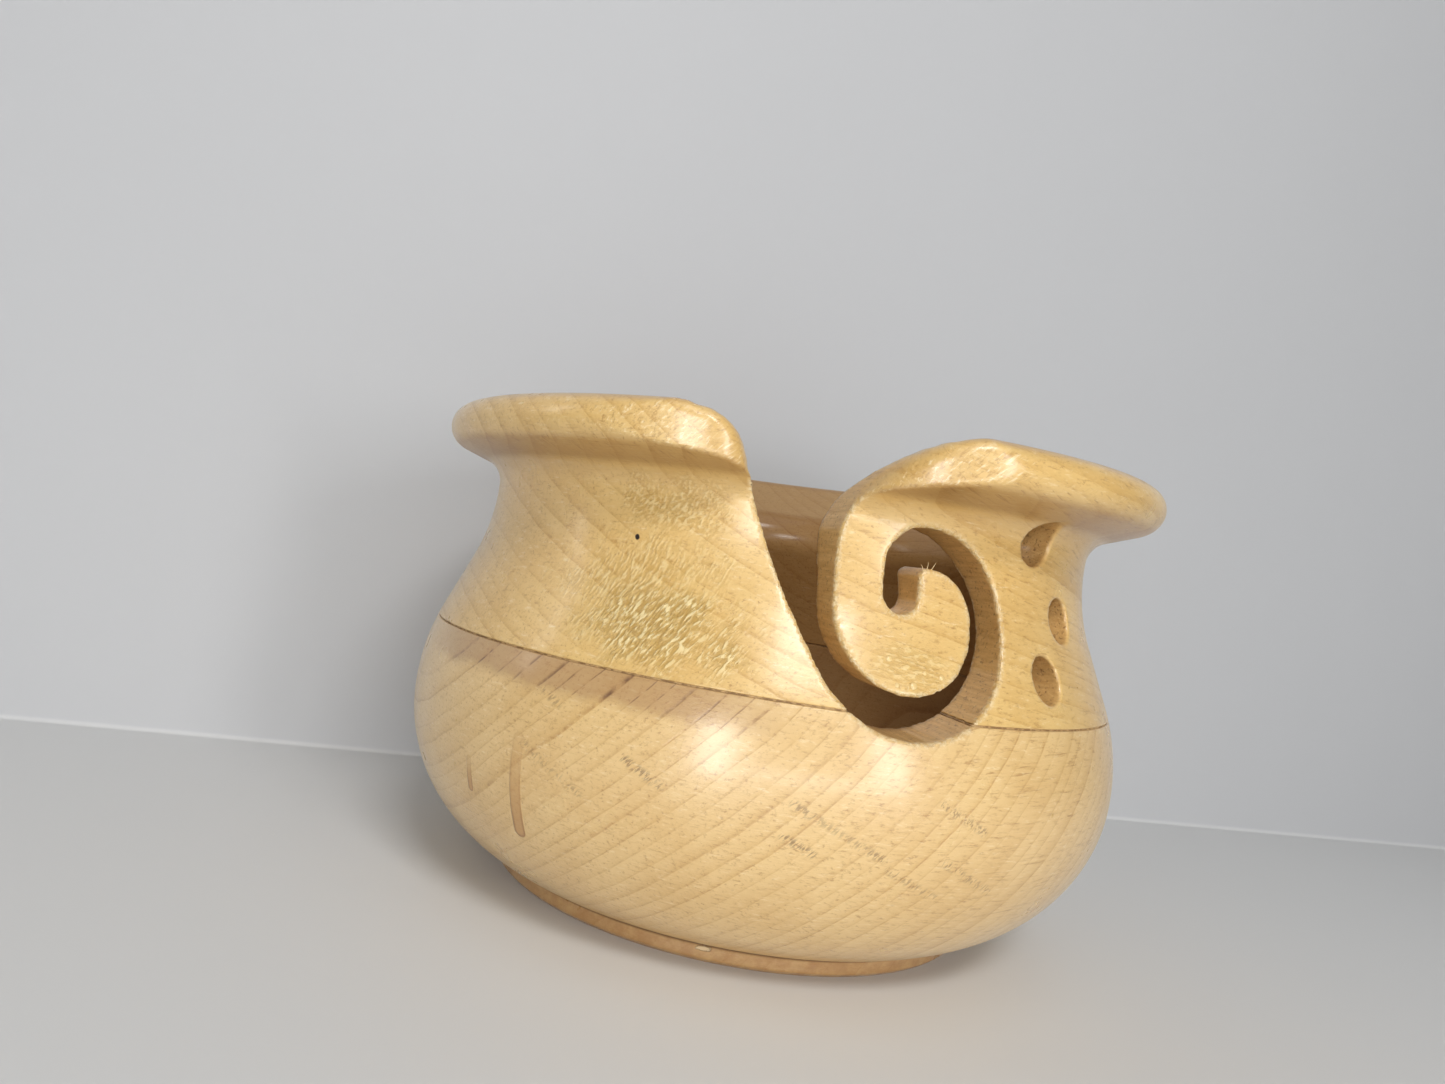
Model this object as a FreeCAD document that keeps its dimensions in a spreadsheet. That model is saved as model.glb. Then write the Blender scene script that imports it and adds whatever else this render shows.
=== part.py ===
"""Wooden yarn bowl, turned from two blanks that are glued face to face.

Millimetres. +Z is up, the origin is the centre of the foot's underside, and the spiral
yarn slot is sawn straight through the front wall along -Y.
"""
import FreeCAD, Part
import math
import os
import Sketcher
from FreeCAD import Placement, Rotation, Vector

DOC = FreeCAD.newDocument("yarn_bowl")
START, END, CENTRE = 1, 2, 3    # the named points of a sketch curve
ORIGIN = (-1, 1)                # the sketch's own origin

# Driving dimensions.
DIMENSIONS = [
    # Outside, from the foot to the lip.
    ("foot_radius", 53.2),
    ("foot_bevel", 1.0),
    ("foot_height", 3.8),
    ("belly_start", 4.6),        # height at which the belly leaves the foot
    ("belly_radius", 76.0),
    ("belly_height", 36.5),      # height of the widest circle
    ("lower_belly_arc", 35.0),
    ("upper_belly_arc", 46.0),
    ("shoulder_lean", 24.0),     # degrees from the vertical
    ("throat_radius", 63.4),
    ("throat_arc", 40.0),
    ("cove_arc", 5.0),           # hollow under the lip
    ("lip_radius", 75.3),
    ("nose_arc", 4.2),           # the lip's rounded edge
    ("bowl_height", 98.0),
    # Inside.
    ("floor_thickness", 10.0),
    ("inner_radius", 62.5),
    ("inner_lower_arc", 34.0),
    ("inner_upper_arc", 75.0),
    ("inner_throat_radius", 53.6),
    ("inner_throat_arc", 9.0),
    # The two blanks and the glue between them.
    ("joint_height", 53.0),
    ("glue_thickness", 0.3),
    ("blank_radius", 90.0),
    # Spiral slot, seen from the front.
    ("sweep_x", 2.4),            # centre of the big sweep under the curl
    ("sweep_z", 67.3),
    ("sweep_arc", 17.8),
    ("roof_arc", 16.2),          # over the curl
    ("turn_arc", 6.6),           # down to the end hole
    ("end_x", 0.5),
    ("end_z", 72.0),
    ("hook_arc", 1.7),           # tip of the curl
    ("curl_top", 76.9),
    ("curl_left", -10.8),
    ("curl_z", 68.5),
    ("mouth_right_arc", 19.5),
    ("mouth_right_z", 78.4),
    ("mouth_left_arc", 12.5),
    ("mouth_left_x", -38.1),
    ("mouth_left_z", 85.2),
    ("mouth_edge_arc", 215.0),   # long edge opposite the curl
    ("mouth_flat", 12.0),        # degrees at which both mouth corners run out at the top
    ("cutter_top", 102.0),
    ("cutter_depth", 90.0),
    # Holes through the wall beside the slot.
    ("hole_radius", 4.0),
    ("drill_start", 30.0),       # distance from the axis at which a drill begins
    ("drill_length", 60.0),
]

# Each hole: degrees round from the front towards +X, and height.
HOLES = [(25.6, 84.0), (34.3, 71.2), (26.6, 60.9)]


def make_sheet():
    sheet = DOC.addObject("Spreadsheet::Sheet", "dims")
    for row, (alias, value) in enumerate(DIMENSIONS, start=1):
        sheet.set(f"A{row}", alias)
        sheet.set(f"B{row}", str(value))
        sheet.setAlias(f"B{row}", alias)
    DOC.recompute()
    return sheet


def bind(feature, prop, expression):
    feature.setExpression(prop, expression)


class Outline:
    """A sketch on a body's front plane, drawn as one closed run of lines and arcs."""

    def __init__(self, body, name):
        self.sketch = body.newObject("Sketcher::SketchObject", name)
        planes = body.Origin.OriginFeatures
        front = next(plane for plane in planes if plane.Role == "XZ_Plane")
        self.sketch.AttachmentSupport = (front, [""])
        self.sketch.MapMode = "FlatFace"
        self.ends = []

    def line(self, start, end):
        curve = Part.LineSegment(Vector(*start, 0), Vector(*end, 0))
        return self.append(curve, START, END)

    def arc(self, centre, radius, start, end):
        """An arc from one direction to another, in degrees, either way round."""
        low, high = sorted((start, end))
        circle = Part.Circle(Vector(*centre, 0), Vector(0, 0, 1), radius)
        curve = Part.ArcOfCircle(circle, math.radians(low), math.radians(high))
        forward = end > start
        return self.append(curve, START if forward else END, END if forward else START)

    def append(self, curve, first, last):
        index = self.sketch.addGeometry(curve, False)
        self.ends.append((index, first, last))
        return index

    def rule(self, *constraint):
        return self.sketch.addConstraint(Sketcher.Constraint(*constraint))

    def size(self, expression, kind, *places):
        """A dimension whose value is an expression over the sheet."""
        value = self.sketch.evalExpression(expression)
        number = float(getattr(value, "Value", value))
        index = self.rule(kind, *places, math.radians(number) if kind == "Angle" else number)
        bind(self.sketch, f"Constraints[{index}]", expression)

    def at_x(self, curve, point, expression):
        self.size(expression, "DistanceX", *ORIGIN, curve, point)

    def at_z(self, curve, point, expression):
        self.size(expression, "DistanceY", *ORIGIN, curve, point)

    def radius(self, curve, alias):
        self.size(f"dims.{alias}", "Radius", curve)

    def join(self, sharp):
        """Close the run. Ends meet smoothly except after the curves listed as sharp."""
        following = self.ends[1:] + self.ends[:1]
        for (curve, _, last), (after, first, _) in zip(self.ends, following):
            kind = "Coincident" if curve in sharp else "Tangent"
            self.rule(kind, curve, last, after, first)


def turned_body():
    """The whole bowl as it comes off the lathe: one section, revolved."""
    body = DOC.addObject("PartDesign::Body", "turning")
    run = Outline(body, "turning_section")

    underside = run.line((0, 0), (52.2, 0))
    bevel = run.line((52.2, 0), (53.2, 1))
    foot = run.line((53.2, 1), (53.2, 3.8))
    ledge = run.line((53.2, 3.8), (55.3, 4.6))
    lower_belly = run.arc((41, 36.5), 35, -66, 0)
    upper_belly = run.arc((30, 36.5), 46, 0, 24)
    shoulder = run.line((72, 55.2), (66.8, 66.8))
    throat = run.arc((103.4, 83), 40, 204, 180)
    cove = run.arc((68.4, 83), 5, 180, 110)
    run.line((66.5, 87.7), (72.5, 89.9))
    nose = run.arc((71.1, 93.8), 4.2, -70, 126)
    run.line((68.4, 97), (57.3, 88.9))
    inner_throat = run.arc((62.6, 81.6), 9, 126, 207)
    inner_upper = run.arc((-12.5, 44), 75, 27, 0)
    inner_lower = run.arc((28.5, 44), 34, 0, -90)
    floor = run.line((28.5, 10), (0, 10))
    axis = run.line((0, 10), (0, 0))
    run.join(sharp=(underside, bevel, foot, ledge, floor, axis))

    run.rule("Coincident", underside, START, *ORIGIN)
    run.rule("Horizontal", underside)
    run.rule("Vertical", foot)
    run.rule("Vertical", axis)
    run.rule("Horizontal", floor)
    run.at_x(underside, END, "dims.foot_radius - dims.foot_bevel")
    run.at_x(foot, START, "dims.foot_radius")
    run.at_z(foot, START, "dims.foot_bevel")
    run.at_z(foot, END, "dims.foot_height")

    run.radius(lower_belly, "lower_belly_arc")
    run.at_x(lower_belly, CENTRE, "dims.belly_radius - dims.lower_belly_arc")
    run.at_z(lower_belly, CENTRE, "dims.belly_height")
    run.at_z(lower_belly, START, "dims.belly_start")
    run.rule("Horizontal", upper_belly, CENTRE, lower_belly, CENTRE)
    run.radius(upper_belly, "upper_belly_arc")
    run.size("(90 + dims.shoulder_lean) * 1 deg", "Angle", shoulder)

    run.radius(throat, "throat_arc")
    run.at_x(throat, START, "dims.throat_radius")
    run.rule("Horizontal", throat, CENTRE, throat, START)
    run.radius(cove, "cove_arc")
    run.radius(nose, "nose_arc")
    run.at_x(nose, CENTRE, "dims.lip_radius - dims.nose_arc")
    run.at_z(nose, CENTRE, "dims.bowl_height - dims.nose_arc")

    run.radius(inner_throat, "inner_throat_arc")
    run.at_x(inner_throat, CENTRE, "dims.inner_throat_radius + dims.inner_throat_arc")
    run.radius(inner_upper, "inner_upper_arc")
    run.at_x(inner_upper, CENTRE, "dims.inner_radius - dims.inner_upper_arc")
    run.rule("Horizontal", inner_upper, CENTRE, inner_lower, CENTRE)
    run.radius(inner_lower, "inner_lower_arc")
    run.at_z(floor, END, "dims.floor_thickness")

    revolve = body.newObject("PartDesign::Revolution", "turning_revolve")
    revolve.Profile = run.sketch
    revolve.ReferenceAxis = (run.sketch, ["V_Axis"])
    revolve.Angle = 360.0
    return body


def slot_cutter():
    """What the saw takes out of the front wall: an open mouth that runs into a spiral."""
    body = DOC.addObject("PartDesign::Body", "slot_cutter")
    run = Outline(body, "slot_outline")

    left_run_out = run.line((-57.2, 102), (-35.5, 97.4))
    mouth_left = run.arc((-38.1, 85.2), 12.5, 78, 20)
    mouth_edge = run.arc((177.2, 158.5), 215, 200, 208)
    sweep = run.arc((2.4, 67.3), 17.8, 208, 360)
    roof = run.arc((4, 67.3), 16.2, 0, 90)
    turn = run.arc((4, 76.9), 6.6, 90, 180)
    inward = run.line((-2.6, 76.9), (-2.6, 72))
    slot_end = run.arc((0.5, 72), 3.1, 180, 360)
    outward = run.line((3.6, 72), (3.6, 75.2))
    hook = run.arc((5.3, 75.2), 1.7, 180, 90)
    curl_roof = run.arc((5.3, 68.5), 8.4, 90, 0)
    curl = run.arc((1.45, 68.5), 12.25, 0, -180)
    curl_side = run.line((-10.8, 68.5), (-10.8, 78.4))
    mouth_right = run.arc((8.7, 78.4), 19.5, 180, 102)
    right_run_out = run.line((4.6, 97.5), (25.7, 102))
    top = run.line((25.7, 102), (-57.2, 102))
    run.join(sharp=(right_run_out, top))

    run.radius(mouth_left, "mouth_left_arc")
    run.at_x(mouth_left, CENTRE, "dims.mouth_left_x")
    run.at_z(mouth_left, CENTRE, "dims.mouth_left_z")
    run.size("(-dims.mouth_flat) * 1 deg", "Angle", left_run_out)
    run.radius(mouth_edge, "mouth_edge_arc")
    run.radius(sweep, "sweep_arc")
    run.at_x(sweep, CENTRE, "dims.sweep_x")
    run.at_z(sweep, CENTRE, "dims.sweep_z")
    run.rule("Horizontal", roof, CENTRE, sweep, CENTRE)
    run.radius(roof, "roof_arc")
    run.rule("Vertical", turn, CENTRE, roof, CENTRE)
    run.radius(turn, "turn_arc")
    run.rule("Vertical", inward)

    run.rule("Vertical", outward)
    run.at_x(slot_end, CENTRE, "dims.end_x")
    run.at_z(slot_end, CENTRE, "dims.end_z")
    run.radius(hook, "hook_arc")
    run.at_z(curl_roof, END, "dims.curl_top")
    run.at_z(curl_roof, CENTRE, "dims.curl_z")
    run.rule("Vertical", hook, CENTRE, curl_roof, CENTRE)
    run.rule("Horizontal", curl, CENTRE, curl_roof, CENTRE)
    run.at_x(curl_side, START, "dims.curl_left")
    run.rule("Vertical", curl_side)
    run.radius(mouth_right, "mouth_right_arc")
    run.at_z(mouth_right, CENTRE, "dims.mouth_right_z")
    run.size("dims.mouth_flat * 1 deg", "Angle", right_run_out)
    run.rule("Horizontal", top)
    run.at_z(top, START, "dims.cutter_top")

    pad = body.newObject("PartDesign::Pad", "slot_pad")
    pad.Profile = run.sketch
    bind(pad, "Length", "dims.cutter_depth")
    return body


def hole_drill(number, degrees, height):
    """A drill that starts near the axis and runs out level through the wall."""
    drill = DOC.addObject("Part::Cylinder", f"drill_{number}")
    bind(drill, "Radius", "dims.hole_radius")
    bind(drill, "Height", "dims.drill_length")
    turn = math.radians(degrees)
    outwards = Vector(math.sin(turn), -math.cos(turn), 0)
    drill.Placement = Placement(Vector(0, 0, height), Rotation(Vector(0, 0, 1), outwards))
    bind(drill, "Placement.Base.x", f"dims.drill_start * {outwards.x}")
    bind(drill, "Placement.Base.y", f"dims.drill_start * {outwards.y}")
    return drill


def slab(name, low, thickness):
    """A round slab of the glued-up blank, from one height to another."""
    disc = DOC.addObject("Part::Cylinder", f"{name}_slab")
    bind(disc, "Radius", "dims.blank_radius")
    bind(disc, "Height", thickness)
    bind(disc, "Placement.Base.z", low)
    return disc


def blank(name, bowl, low, thickness):
    """The part of the finished bowl that lies within one slab of the glued-up blank."""
    piece = DOC.addObject("Part::MultiCommon", name)
    piece.Shapes = [bowl, slab(name, low, thickness)]
    piece.Label = name
    piece.Placement = Placement()
    return piece


def build():
    make_sheet()
    turning = turned_body()
    cutter = slot_cutter()
    drills = [hole_drill(number, *place) for number, place in enumerate(HOLES, start=1)]

    waste = DOC.addObject("Part::MultiFuse", "waste")
    waste.Shapes = [cutter] + drills
    bowl = DOC.addObject("Part::Cut", "finished_bowl")
    bowl.Base = turning
    bowl.Tool = waste

    film_low = "dims.joint_height - dims.glue_thickness / 2"
    film_high = "dims.joint_height + dims.glue_thickness / 2"
    pieces = [
        blank("lower_bowl", bowl, "0", film_low),
        blank("glue_film", bowl, film_low, "dims.glue_thickness"),
        blank("upper_ring", bowl, film_high, "dims.blank_radius"),
    ]
    DOC.recompute()
    return pieces


def check(pieces):
    for thing in DOC.Objects:
        if {"Invalid", "Error"} & set(thing.State):
            raise RuntimeError(f"{thing.Name} failed: {thing.State}")
    for piece in pieces:
        if piece.Shape.isNull() or not piece.Shape.isValid():
            raise RuntimeError(f"{piece.Label} has no valid shape")
        if len(piece.Shape.Solids) != 1:
            raise RuntimeError(f"{piece.Label} is {len(piece.Shape.Solids)} solids, not 1")


def export(pieces):
    os.makedirs("parts", exist_ok=True)
    for piece in pieces:
        piece.Shape.exportStep(f"parts/{piece.Label}.step")
        box = piece.Shape.optimalBoundingBox()
        print(f"{piece.Label}: {piece.Shape.Volume / 1000:.1f} cm3,",
              f"z {box.ZMin:.2f} to {box.ZMax:.2f}, x {box.XMin:.2f} to {box.XMax:.2f}")


PIECES = build()
check(PIECES)
export(PIECES)
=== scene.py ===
"""Finished look of the wooden yarn bowl.

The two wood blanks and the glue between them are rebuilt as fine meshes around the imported
CAD model: one turned section and one sawn slot give a distance field, and a net of quads
is laid over its surface, with the eased and chipped edges that sawn wood has.
"""
import math
import bpy
import numpy as np
from mathutils import Matrix, Vector


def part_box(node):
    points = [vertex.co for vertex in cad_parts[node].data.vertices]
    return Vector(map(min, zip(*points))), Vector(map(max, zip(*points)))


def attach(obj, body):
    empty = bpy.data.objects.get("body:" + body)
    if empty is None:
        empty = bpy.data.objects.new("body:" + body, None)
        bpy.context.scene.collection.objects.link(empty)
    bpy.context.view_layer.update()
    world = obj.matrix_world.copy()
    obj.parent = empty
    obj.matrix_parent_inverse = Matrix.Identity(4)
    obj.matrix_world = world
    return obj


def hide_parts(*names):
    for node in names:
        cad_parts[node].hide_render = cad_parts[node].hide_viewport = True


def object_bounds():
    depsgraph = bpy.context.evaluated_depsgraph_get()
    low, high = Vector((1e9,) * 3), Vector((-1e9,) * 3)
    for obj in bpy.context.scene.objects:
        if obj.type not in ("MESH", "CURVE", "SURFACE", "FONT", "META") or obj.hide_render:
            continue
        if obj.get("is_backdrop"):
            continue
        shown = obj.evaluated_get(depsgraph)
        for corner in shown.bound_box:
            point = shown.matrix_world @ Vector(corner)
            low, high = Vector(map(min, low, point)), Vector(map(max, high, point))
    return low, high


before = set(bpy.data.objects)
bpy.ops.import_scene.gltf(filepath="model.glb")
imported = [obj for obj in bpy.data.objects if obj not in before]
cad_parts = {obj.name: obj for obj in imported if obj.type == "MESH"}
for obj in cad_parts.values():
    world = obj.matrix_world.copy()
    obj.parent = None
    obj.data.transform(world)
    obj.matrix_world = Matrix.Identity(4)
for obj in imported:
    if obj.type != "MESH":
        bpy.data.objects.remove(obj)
CAD_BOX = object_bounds()

MM = 0.001
SEED = 11

# ---------------------------------------------------------------------------------------
# Shape, in millimetres. Heights of the joint and of the bowl come from the CAD parts in model.glb.
# ---------------------------------------------------------------------------------------
GLUE_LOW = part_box("glue_film")[0][2] / MM
GLUE_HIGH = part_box("glue_film")[1][2] / MM
BOWL_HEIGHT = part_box("upper_ring")[1][2] / MM
BELLY_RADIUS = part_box("lower_bowl")[1][0] / MM
LIP_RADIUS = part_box("upper_ring")[1][0] / MM

BELLY_HEIGHT = 36.5
THROAT_RADIUS, THROAT_HEIGHT = 63.4, 83.08
NOSE_RADIUS = 4.2
FLOOR_HEIGHT = 10.0
INNER_RADIUS, INNER_THROAT = 62.5, 53.6

# The turned section as a belt round pulleys: (r, z, radius), where a positive radius turns
# left, a negative one turns right and zero is a corner. The wood is on the left.
SECTION = [
    (0.0, 0.0, 0.0),
    (52.0, 0.3, 0.3),                                           # bevel under the foot
    (52.9, 1.1, 0.3),
    (53.7, 3.35, -0.5),                                         # hollow where the belly starts
    (BELLY_RADIUS - 35, BELLY_HEIGHT, 35.0),
    (BELLY_RADIUS - 46, BELLY_HEIGHT, 46.0),
    (THROAT_RADIUS + 40, THROAT_HEIGHT, -40.0),
    (THROAT_RADIUS + 5, THROAT_HEIGHT, -5.0),                   # hollow under the lip
    (LIP_RADIUS - NOSE_RADIUS, BOWL_HEIGHT - NOSE_RADIUS, NOSE_RADIUS),
    (INNER_THROAT + 9, 81.63, 9.0),
    (INNER_RADIUS - 75, 44.0, -75.0),
    (INNER_RADIUS - 34, FLOOR_HEIGHT + 34, -34.0),
    (0.0, FLOOR_HEIGHT, 0.0),
]

HOOK_TIP = (5.3, 75.2, -1.7)
CURL_BELLY = (1.45, 68.5, -12.25)

# The sawn slot seen from the front, as a belt in (x, z) with the opening on the left.
SLOT = [
    (-57.7, 102.0, 0.0),
    (-38.4, 85.0, -12.4),                                       # left corner of the mouth
    (177.22, 158.54, 215.0),                                    # long edge facing the curl
    (2.4, 67.3, 17.8),                                          # sweep under the curl
    (4.0, 67.3, 16.2),
    (4.0, 76.9, 6.6),
    (0.5, 72.0, 3.1),                                           # end of the spiral
    HOOK_TIP,
    (5.3, 68.5, -8.4),
    CURL_BELLY,
    (8.7, 78.4, -19.5),                                         # right corner of the mouth
    (25.9, 102.0, 0.0),
]

# The lip seen from above, in (x, y): its front is sanded back round both mouth corners.
LIP_PLAN = [
    (0.0, 0.0, LIP_RADIUS + 0.3),
    (-23.4, -19.7, 45.0),
    (-33.0, -54.3, 9.1),                                        # left of the mouth
    (-23.9, 0.0, 0.0),
    (-13.6, 0.0, 0.0),
    (11.4, -49.3, 25.0),                                        # right of the mouth
]
LIP_PLAN_LOW = 88.5     # the sanding fades out below this height

# Holes beside the slot: degrees round from the front towards +X, and height.
HOLES = [(25.6, 84.0), (34.3, 71.2), (26.6, 60.9)]
HOLE_RADIUS = 4.0


CHORD_ERROR = 0.002     # how far a belt's straight steps may leave the true curve


def belt(pulleys):
    """Points along a belt that runs round the pulleys, close enough to be smooth."""
    count = len(pulleys)
    joins = []
    for here, there in zip(pulleys, pulleys[1:] + pulleys[:1]):
        across = np.subtract(there[:2], here[:2])
        lean = (there[2] - here[2]) / max(np.hypot(*across), 1e-9)
        heading = math.atan2(across[1], across[0]) - math.asin(max(-1.0, min(1.0, lean)))
        joins.append(heading)
    points = []
    for index, (x, y, radius) in enumerate(pulleys):
        if radius == 0:
            points.append((x, y))
            continue
        first = joins[index - 1]
        turn = (joins[index] - first) % (2 * math.pi)
        if radius < 0:
            turn -= 2 * math.pi
        if abs(turn) > 1.95 * math.pi:
            turn = 0.0
        step = 2 * math.acos(1 - CHORD_ERROR / max(abs(radius), CHORD_ERROR))
        steps = 1 + int(abs(turn) / min(step, 0.2))
        for heading in first + turn * np.linspace(0, 1, steps + 1):
            points.append((x + radius * math.sin(heading), y - radius * math.cos(heading)))
    return np.array(points)


class DistanceTable:
    """Signed distance to a closed outline, negative inside, looked up on a fine grid."""

    def __init__(self, points, low, high, pitch=0.2):
        self.pitch = pitch
        self.low = np.array(low, float)
        self.shape = np.ceil((np.array(high) - self.low) / self.pitch).astype(int) + 1
        u = self.low[0] + self.pitch * np.arange(self.shape[0])
        v = self.low[1] + self.pitch * np.arange(self.shape[1])
        self.table = np.empty(self.shape)
        start, end = points, np.roll(points, -1, axis=0)
        along = end - start
        square = np.maximum((along ** 2).sum(1), 1e-12)
        for column, x in enumerate(u):
            dx, dy = x - start[:, 0], v[:, None] - start[:, 1]
            part = np.clip((dx * along[:, 0] + dy * along[:, 1]) / square, 0, 1)
            gap = (dx - part * along[:, 0]) ** 2 + (dy - part * along[:, 1]) ** 2
            crosses = (start[:, 0] > x) != (end[:, 0] > x)
            run = np.where(crosses, along[:, 0], 1.0)
            level = start[:, 1] + (x - start[:, 0]) / run * along[:, 1]
            inside = (crosses & (level > v[:, None])).sum(1) % 2 == 1
            self.table[column] = np.sqrt(gap.min(1)) * np.where(inside, -1, 1)

    def __call__(self, u, v):
        place_u = np.clip((u - self.low[0]) / self.pitch, 0, self.shape[0] - 1.001)
        place_v = np.clip((v - self.low[1]) / self.pitch, 0, self.shape[1] - 1.001)
        i, j = place_u.astype(int), place_v.astype(int)
        s, t = place_u - i, place_v - j
        low = self.table[i, j] * (1 - s) + self.table[i + 1, j] * s
        high = self.table[i, j + 1] * (1 - s) + self.table[i + 1, j + 1] * s
        return low * (1 - t) + high * t


def both(a, b, radius):
    """Inside both fields, with the edge between them rounded to a radius."""
    corner = np.hypot(np.maximum(a + radius, 0), np.maximum(b + radius, 0))
    return np.minimum(np.maximum(a, b), -radius) + corner


def ripple(x, y, z, size, seed):
    """Smooth noise between about -1 and 1 with features of one size, from a few waves."""
    rng = np.random.default_rng(seed)
    total = 0.0
    for _ in range(7):
        direction = rng.normal(size=3)
        direction *= rng.uniform(0.7, 1.5) / np.linalg.norm(direction)
        phase = rng.uniform(0, 2 * math.pi)
        total = total + np.sin((direction[0] * x + direction[1] * y + direction[2] * z)
                               * 2 * math.pi / size + phase)
    return total / 2.6


TURNING = DistanceTable(belt(SECTION), (0, -3), (80, BOWL_HEIGHT + 3))
SAWING = DistanceTable(belt(SLOT), (-80, 40), (50, BOWL_HEIGHT + 5))
SANDING = DistanceTable(belt(LIP_PLAN), (-80, -80), (80, -15), pitch=0.4)
MOUTH_EASE = 2.4        # where the saw cut turns into the sanded front of the lip
FRONT_ONLY = -20.0      # the saw only meets the wall in front of this
FAR_AWAY = 20.0         # a distance too large to shape any surface
SAW_MARK_DEPTH, SAW_MARK_SIZE = 0.05, 2.6
EDGE_EASE, EDGE_WANDER, EDGE_WANDER_SIZE = 0.32, 0.12, 5.0
HOLE_EASE = 0.4
SANDING_FADE = 0.8      # how fast the sanded front runs out, per millimetre of height


def bowl_field(x, y, z):
    """Distance to the whole bowl's surface, negative inside the wood."""
    turned = TURNING(np.hypot(x, y), z)
    saw_marks = SAW_MARK_DEPTH * ripple(x, 0 * y, z, SAW_MARK_SIZE, SEED)
    void = np.where(y < FRONT_ONLY, SAWING(x, z) + saw_marks, FAR_AWAY)
    ease = EDGE_EASE + EDGE_WANDER * ripple(x, y, z, EDGE_WANDER_SIZE, SEED + 1)
    sanded = SANDING(x, y) - SANDING_FADE * np.maximum(LIP_PLAN_LOW - z, 0)
    sanded = np.where(y < FRONT_ONLY, sanded, -FAR_AWAY)
    wood = both(turned, both(-void, sanded, MOUTH_EASE), ease)
    for degrees, height in HOLES:
        turn = math.radians(degrees)
        out_x, out_y = math.sin(turn), -math.cos(turn)
        aside = np.hypot(x * out_y - y * out_x, z - height)
        front = x * out_x + y * out_y > 0
        drilled = np.where(front, HOLE_RADIUS - aside, -FAR_AWAY)
        wood = both(wood, drilled, HOLE_EASE)
    return wood


def slab_field(low, high, ease, recess=0.0):
    """The bowl between two heights, with slightly eased faces."""
    def field(x, y, z):
        wood = bowl_field(x, y, z) + recess
        return both(wood, np.maximum(low - z, z - high), ease)
    return field


def graded(stops):
    """Grid lines through stretches of (end, spacing), each stretch evenly divided."""
    lines = [stops[0][0]]
    for (start, _), (end, spacing) in zip(stops, stops[1:]):
        count = max(1, round((end - start) / spacing))
        lines += list(start + (end - start) * np.arange(1, count + 1) / count)
    return np.array(lines)


SEARCH_DEPTH = 6.0      # more than half the wall, so that the slot is found right through it


def net(field, degrees, radii, heights):
    """A net of quads over a field's surface, laid on a grid round the bowl's axis."""
    turn = np.radians(degrees)
    sin, cos = np.sin(turn)[:, None, None], np.cos(turn)[:, None, None]
    shape = len(turn), len(radii), len(heights)
    turned = TURNING(*np.meshgrid(radii, heights, indexing="ij"))
    values = np.broadcast_to(turned, shape).copy()
    near = np.abs(values) < SEARCH_DEPTH
    x, y, z = (np.broadcast_to(part, shape)[near] for part in
               (sin * radii[None, :, None], -cos * radii[None, :, None], heights))
    values[near] = field(x, y, z)
    solid = values < 0
    around = np.roll(np.arange(len(turn)), -1)
    corners = {}
    for i in (0, 1):
        for j in (0, 1):
            for k in (0, 1):
                part = solid[around] if i else solid
                corners[i, j, k] = part[:, j:len(radii) - 1 + j, k:len(heights) - 1 + k]
    count = sum(c.astype(np.int8) for c in corners.values())
    cell = np.argwhere((count > 0) & (count < 8))
    number = np.full(count.shape, -1)
    number[tuple(cell.T)] = np.arange(len(cell))

    # Each cell's point is the middle of where its edges cross the surface.
    place, hits = np.zeros((len(cell), 3)), np.zeros(len(cell))
    for axis in range(3):
        for side_a in (0, 1):
            for side_b in (0, 1):
                near = np.insert([side_a, side_b], axis, 0)
                far = np.insert([side_a, side_b], axis, 1)
                a, b = ((cell + offset) for offset in (near, far))
                for index in (a, b):
                    index[:, 0] %= len(turn)
                value_a, value_b = values[tuple(a.T)], values[tuple(b.T)]
                crosses = (value_a < 0) != (value_b < 0)
                gap = np.where(crosses, value_a - value_b, 1.0)
                spot = np.tile(near.astype(float), (len(cell), 1))
                spot[:, axis] = value_a / gap
                place += np.where(crosses[:, None], spot, 0)
                hits += crosses
    place = cell + place / hits[:, None]

    wide = np.append(turn, turn[0] + 2 * math.pi)
    angle = np.interp(place[:, 0], np.arange(len(wide)), wide)
    radius = np.interp(place[:, 1], np.arange(len(radii)), radii)
    height = np.interp(place[:, 2], np.arange(len(heights)), heights)
    points = np.stack([radius * np.sin(angle), -radius * np.cos(angle), height], axis=1)

    faces = []
    for axis, (u, v) in enumerate([(1, 2), (2, 0), (0, 1)]):
        if axis == 0:
            here, there = solid, solid[around]
        else:
            here = np.take(solid, range(solid.shape[axis] - 1), axis)
            there = np.take(solid, range(1, solid.shape[axis]), axis)
        edge = np.argwhere(here != there)
        inwards = here[tuple(edge.T)]
        quad, usable = [], np.ones(len(edge), bool)
        for back_u, back_v in ((1, 1), (0, 1), (0, 0), (1, 0)):
            beside = edge.copy()
            beside[:, u] -= back_u
            beside[:, v] -= back_v
            beside[:, 0] %= len(turn)
            usable &= ((beside[:, 1:] >= 0) & (beside[:, 1:] < number.shape[1:])).all(1)
            beside[:, 1:] = np.clip(beside[:, 1:], 0, np.array(number.shape[1:]) - 1)
            quad.append(number[tuple(beside.T)])
        quad = np.stack(quad, 1)
        quad[~inwards] = quad[~inwards][:, ::-1]
        faces.append(quad[usable])
    faces = np.concatenate(faces)
    return settle(field, points), faces


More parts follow.
